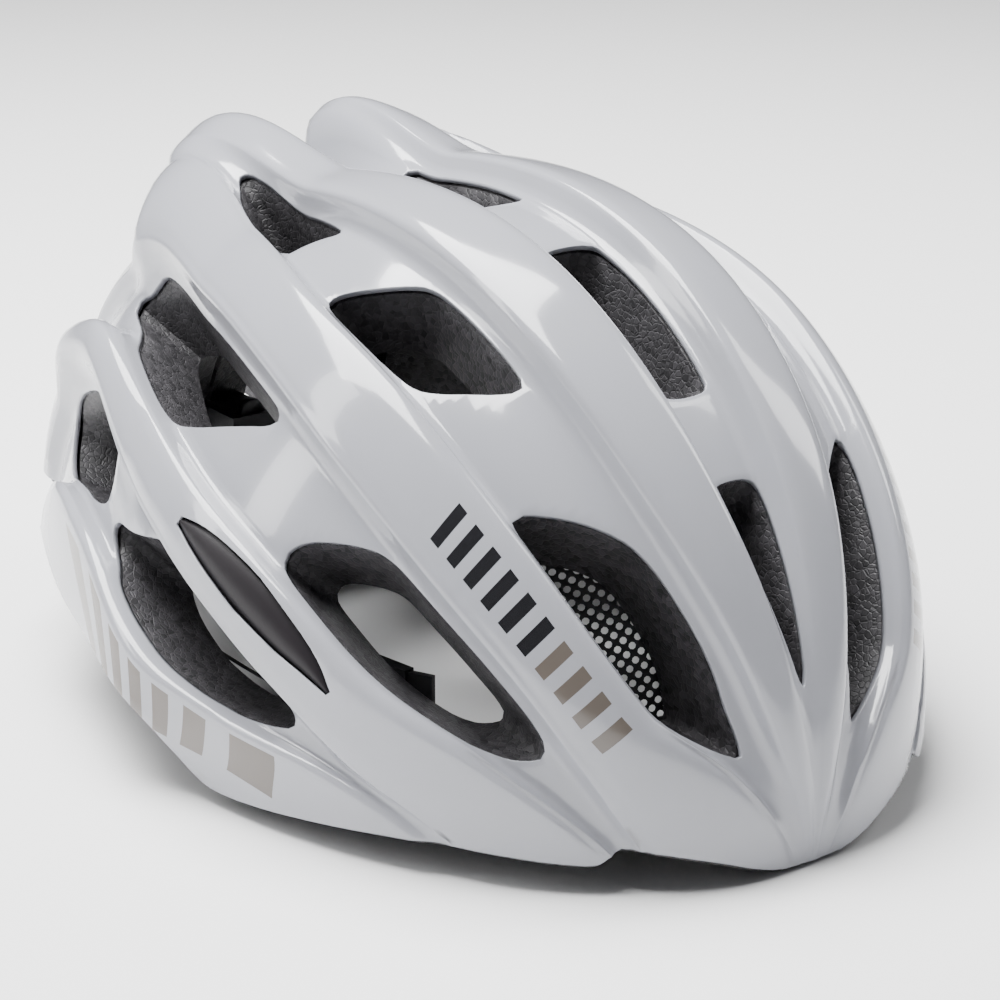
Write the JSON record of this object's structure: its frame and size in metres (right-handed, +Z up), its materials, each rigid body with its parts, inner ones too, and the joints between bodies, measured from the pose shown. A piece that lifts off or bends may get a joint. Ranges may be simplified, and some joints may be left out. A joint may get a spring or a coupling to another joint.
{
  "type": "cycling helmet",
  "caption": "Vented road cycling helmet with a glossy ribbed shell, foam liner, net, pads, straps and a rear dial fit system.",
  "frame": {"origin": "bottom centre of the whole helmet, on the surface it rests on", "axes": "-Y is the front (brow), +X the wearer's left, +Z up"},
  "size_m": [0.2171, 0.2852, 0.1435],
  "materials": {
    "shell_white": "clear gloss",
    "foam_black": "beaded foam",
    "insert_dark": "gloss",
    "nylon_black": "fine grain",
    "pad_fabric": "brushed knit",
    "webbing_black": "woven",
    "net_black": "mesh",
    "rubber_black": "matt",
    "steel": "satin"
  },
  "bodies": {
    "helmet": {"brow_pad": "pad_fabric", "buckle_socket": "nylon_black", "chin_pad": "pad_fabric", "chin_strap_left": "webbing_black", "chin_strap_right": "webbing_black", "crown_pad_left": "pad_fabric", "crown_pad_right": "pad_fabric", "foam_liner": "foam_black", "front_headband": "nylon_black", "front_strap_left": "webbing_black", "front_strap_right": "webbing_black", "headband_studs": "nylon_black", "hook_dots": "webbing_black", "insect_net": "net_black", "lever_pin_left": "steel", "lever_pin_right": "steel", "outer_shell": "shell_white", "rear_strap_left": "webbing_black", "rear_strap_right": "webbing_black", "side_insert_left": "insert_dark", "side_insert_right": "insert_dark", "side_pad_left": "pad_fabric", "side_pad_right": "pad_fabric", "stem_guides": "nylon_black", "strap_anchors": "nylon_black", "strap_divider_left": "nylon_black", "strap_divider_right": "nylon_black", "strap_keeper": "rubber_black", "temple_posts": "steel"},
    "cradle": {"rear_cradle": "nylon_black", "cradle_pad_left": "pad_fabric", "cradle_pad_right": "pad_fabric", "dial_housing": "nylon_black", "housing_cover": "nylon_black", "cover_screws": "steel"},
    "dial": {"dial_knob": "nylon_black", "dial_screw": "steel", "pinion_gear": "nylon_black", "ratchet_spring": "steel"},
    "arm_left": {"side_arm_left": "nylon_black"},
    "arm_right": {"side_arm_right": "nylon_black"},
    "lever_left": {"cam_lever_left": "nylon_black"},
    "lever_right": {"cam_lever_right": "nylon_black"},
    "plug": {"buckle_plug": "nylon_black"}
  },
  "joints": [
    {"name": "cradle_lift", "type": "slide", "parent": "helmet", "child": "cradle", "axis": [0, 0, 1], "range_m": [0, 0.012]},
    {"name": "dial_turn", "type": "hinge", "parent": "cradle", "child": "dial", "pos_m": [0, 0.107, 0.017], "axis": [0, 1, 0], "range_deg": [0, 84]},
    {"name": "arm_left_swing", "type": "hinge", "parent": "cradle", "child": "arm_left", "pos_m": [0.0655, -0.044, 0.017], "axis": [0, 0, 1], "range_deg": [0, 2.8]},
    {"name": "arm_right_swing", "type": "hinge", "parent": "cradle", "child": "arm_right", "pos_m": [-0.0655, -0.044, 0.017], "axis": [0, 0, -1], "range_deg": [0, 2.8]},
    {"name": "cam_lever_left_open", "type": "hinge", "parent": "helmet", "child": "lever_left", "pos_m": [0.06405, -0.01301, 0.06053], "axis": [-0.3894, -0.2027, 0.8985], "range_deg": [0, 75]},
    {"name": "cam_lever_right_open", "type": "hinge", "parent": "helmet", "child": "lever_right", "pos_m": [-0.06405, -0.01301, 0.06053], "axis": [-0.3894, 0.2027, -0.8985], "range_deg": [0, 75]},
    {"name": "buckle_release", "type": "slide", "parent": "helmet", "child": "plug", "axis": [-1, 0, 0], "range_m": [0, 0.012]}
  ],
  "couplings": [
    {"joint": "arm_left_swing", "follows": "dial_turn", "ratio": 0.033333},
    {"joint": "arm_right_swing", "follows": "dial_turn", "ratio": 0.033333}
  ]
}
